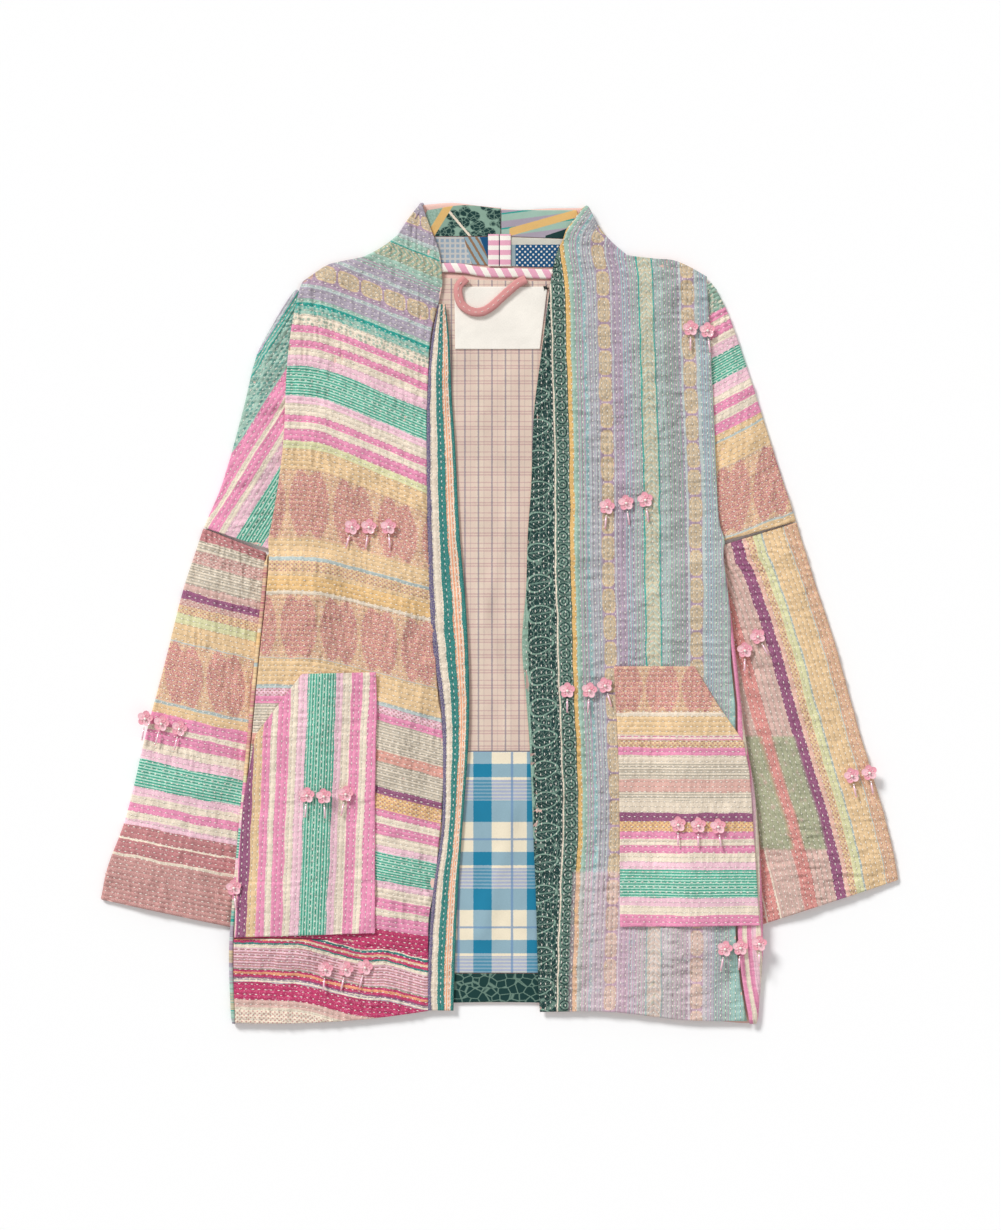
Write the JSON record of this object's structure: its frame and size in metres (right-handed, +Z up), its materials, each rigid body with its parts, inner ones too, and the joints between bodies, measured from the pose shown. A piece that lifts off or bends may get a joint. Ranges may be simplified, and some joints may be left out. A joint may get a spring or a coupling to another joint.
{
  "type": "kantha quilted patchwork jacket",
  "caption": "Open-fronted quilted patchwork jacket with stand collar, drop-shoulder wide sleeves, slanted patch pockets and beaded flower trims, lying flat on its back.",
  "frame": {"origin": "centre of the jacket's outline, on the surface it lies on", "axes": "+Z up from the surface, +Y from hem to collar, +X towards the wearer's left sleeve, which is on the right as seen from above"},
  "size_m": [0.7972, 0.8208, 0.0251],
  "materials": {
    "back_patchwork": "hand-quilted cotton, matt",
    "front_right_stripes": "hand-quilted cotton, matt",
    "front_left_stripes": "hand-quilted cotton, matt",
    "front_band": "hand-quilted cotton, matt",
    "hem_band": "hand-quilted cotton, matt",
    "sleeve_upper_right_stripes": "hand-quilted cotton, matt",
    "sleeve_lower_right_stripes": "hand-quilted cotton, matt",
    "sleeve_upper_left_stripes": "hand-quilted cotton, matt",
    "sleeve_lower_left_stripes": "hand-quilted cotton, matt",
    "pocket_right_stripes": "hand-quilted cotton, matt",
    "pocket_left_stripes": "hand-quilted cotton, matt",
    "lining_check": "hand-quilted cotton, matt",
    "lining_plaid": "hand-quilted cotton, matt",
    "hem_facing_green": "hand-quilted cotton, matt",
    "collar_facing_right_print": "hand-quilted cotton, matt",
    "collar_facing_left_print": "hand-quilted cotton, matt",
    "collar_lining_right_print": "hand-quilted cotton, matt",
    "collar_lining_left_print": "hand-quilted cotton, matt",
    "seam_tape": "hand-quilted cotton, matt",
    "neck_binding": "hand-quilted cotton, matt",
    "hang_loop": "hand-quilted cotton, matt",
    "label": "woven cotton label, blank",
    "flower_beads": "pink seed beads with a pearl centre and a clear glass bugle"
  },
  "bodies": {
    "root": {"back_panel": "back_patchwork", "front_right": "front_right_stripes", "front_left": "front_left_stripes", "front_band_right": "front_band", "hem_band_right": "hem_band", "sleeve_upper_right": "sleeve_upper_right_stripes", "sleeve_lower_right": "sleeve_lower_right_stripes", "sleeve_upper_left": "sleeve_upper_left_stripes", "sleeve_lower_left": "sleeve_lower_left_stripes", "pocket_right": "pocket_right_stripes", "pocket_left": "pocket_left_stripes", "back_lining_upper": "lining_check", "back_lining_lower": "lining_plaid", "back_hem_facing": "hem_facing_green", "collar_facing_right": "collar_facing_right_print", "collar_facing_left": "collar_facing_left_print", "collar_lining_right": "collar_lining_right_print", "collar_lining_left": "collar_lining_left_print", "collar_seam_tape_right": "seam_tape", "collar_seam_tape_left": "seam_tape", "neck_binding": "neck_binding", "label": "label", "hang_loop": "hang_loop", "flower_front_right_1": "flower_beads", "flower_front_right_2": "flower_beads", "flower_front_right_3": "flower_beads", "flower_sleeve_right_1": "flower_beads", "flower_sleeve_right_2": "flower_beads", "flower_sleeve_right_3": "flower_beads", "flower_pocket_right_1": "flower_beads", "flower_pocket_right_2": "flower_beads", "flower_pocket_right_3": "flower_beads", "flower_hem_right_1": "flower_beads", "flower_hem_right_2": "flower_beads", "flower_hem_right_3": "flower_beads", "flower_side_right_1": "flower_beads", "flower_shoulder_left_1": "flower_beads", "flower_shoulder_left_2": "flower_beads", "flower_front_left_upper_1": "flower_beads", "flower_front_left_upper_2": "flower_beads", "flower_front_left_upper_3": "flower_beads", "flower_front_left_lower_1": "flower_beads", "flower_front_left_lower_2": "flower_beads", "flower_front_left_lower_3": "flower_beads", "flower_pocket_left_1": "flower_beads", "flower_pocket_left_2": "flower_beads", "flower_pocket_left_3": "flower_beads", "flower_sleeve_left_upper_1": "flower_beads", "flower_sleeve_left_upper_2": "flower_beads", "flower_sleeve_left_lower_1": "flower_beads", "flower_sleeve_left_lower_2": "flower_beads", "flower_hem_left_1": "flower_beads", "flower_hem_left_2": "flower_beads", "flower_hem_left_3": "flower_beads"}
  },
  "joints": []
}
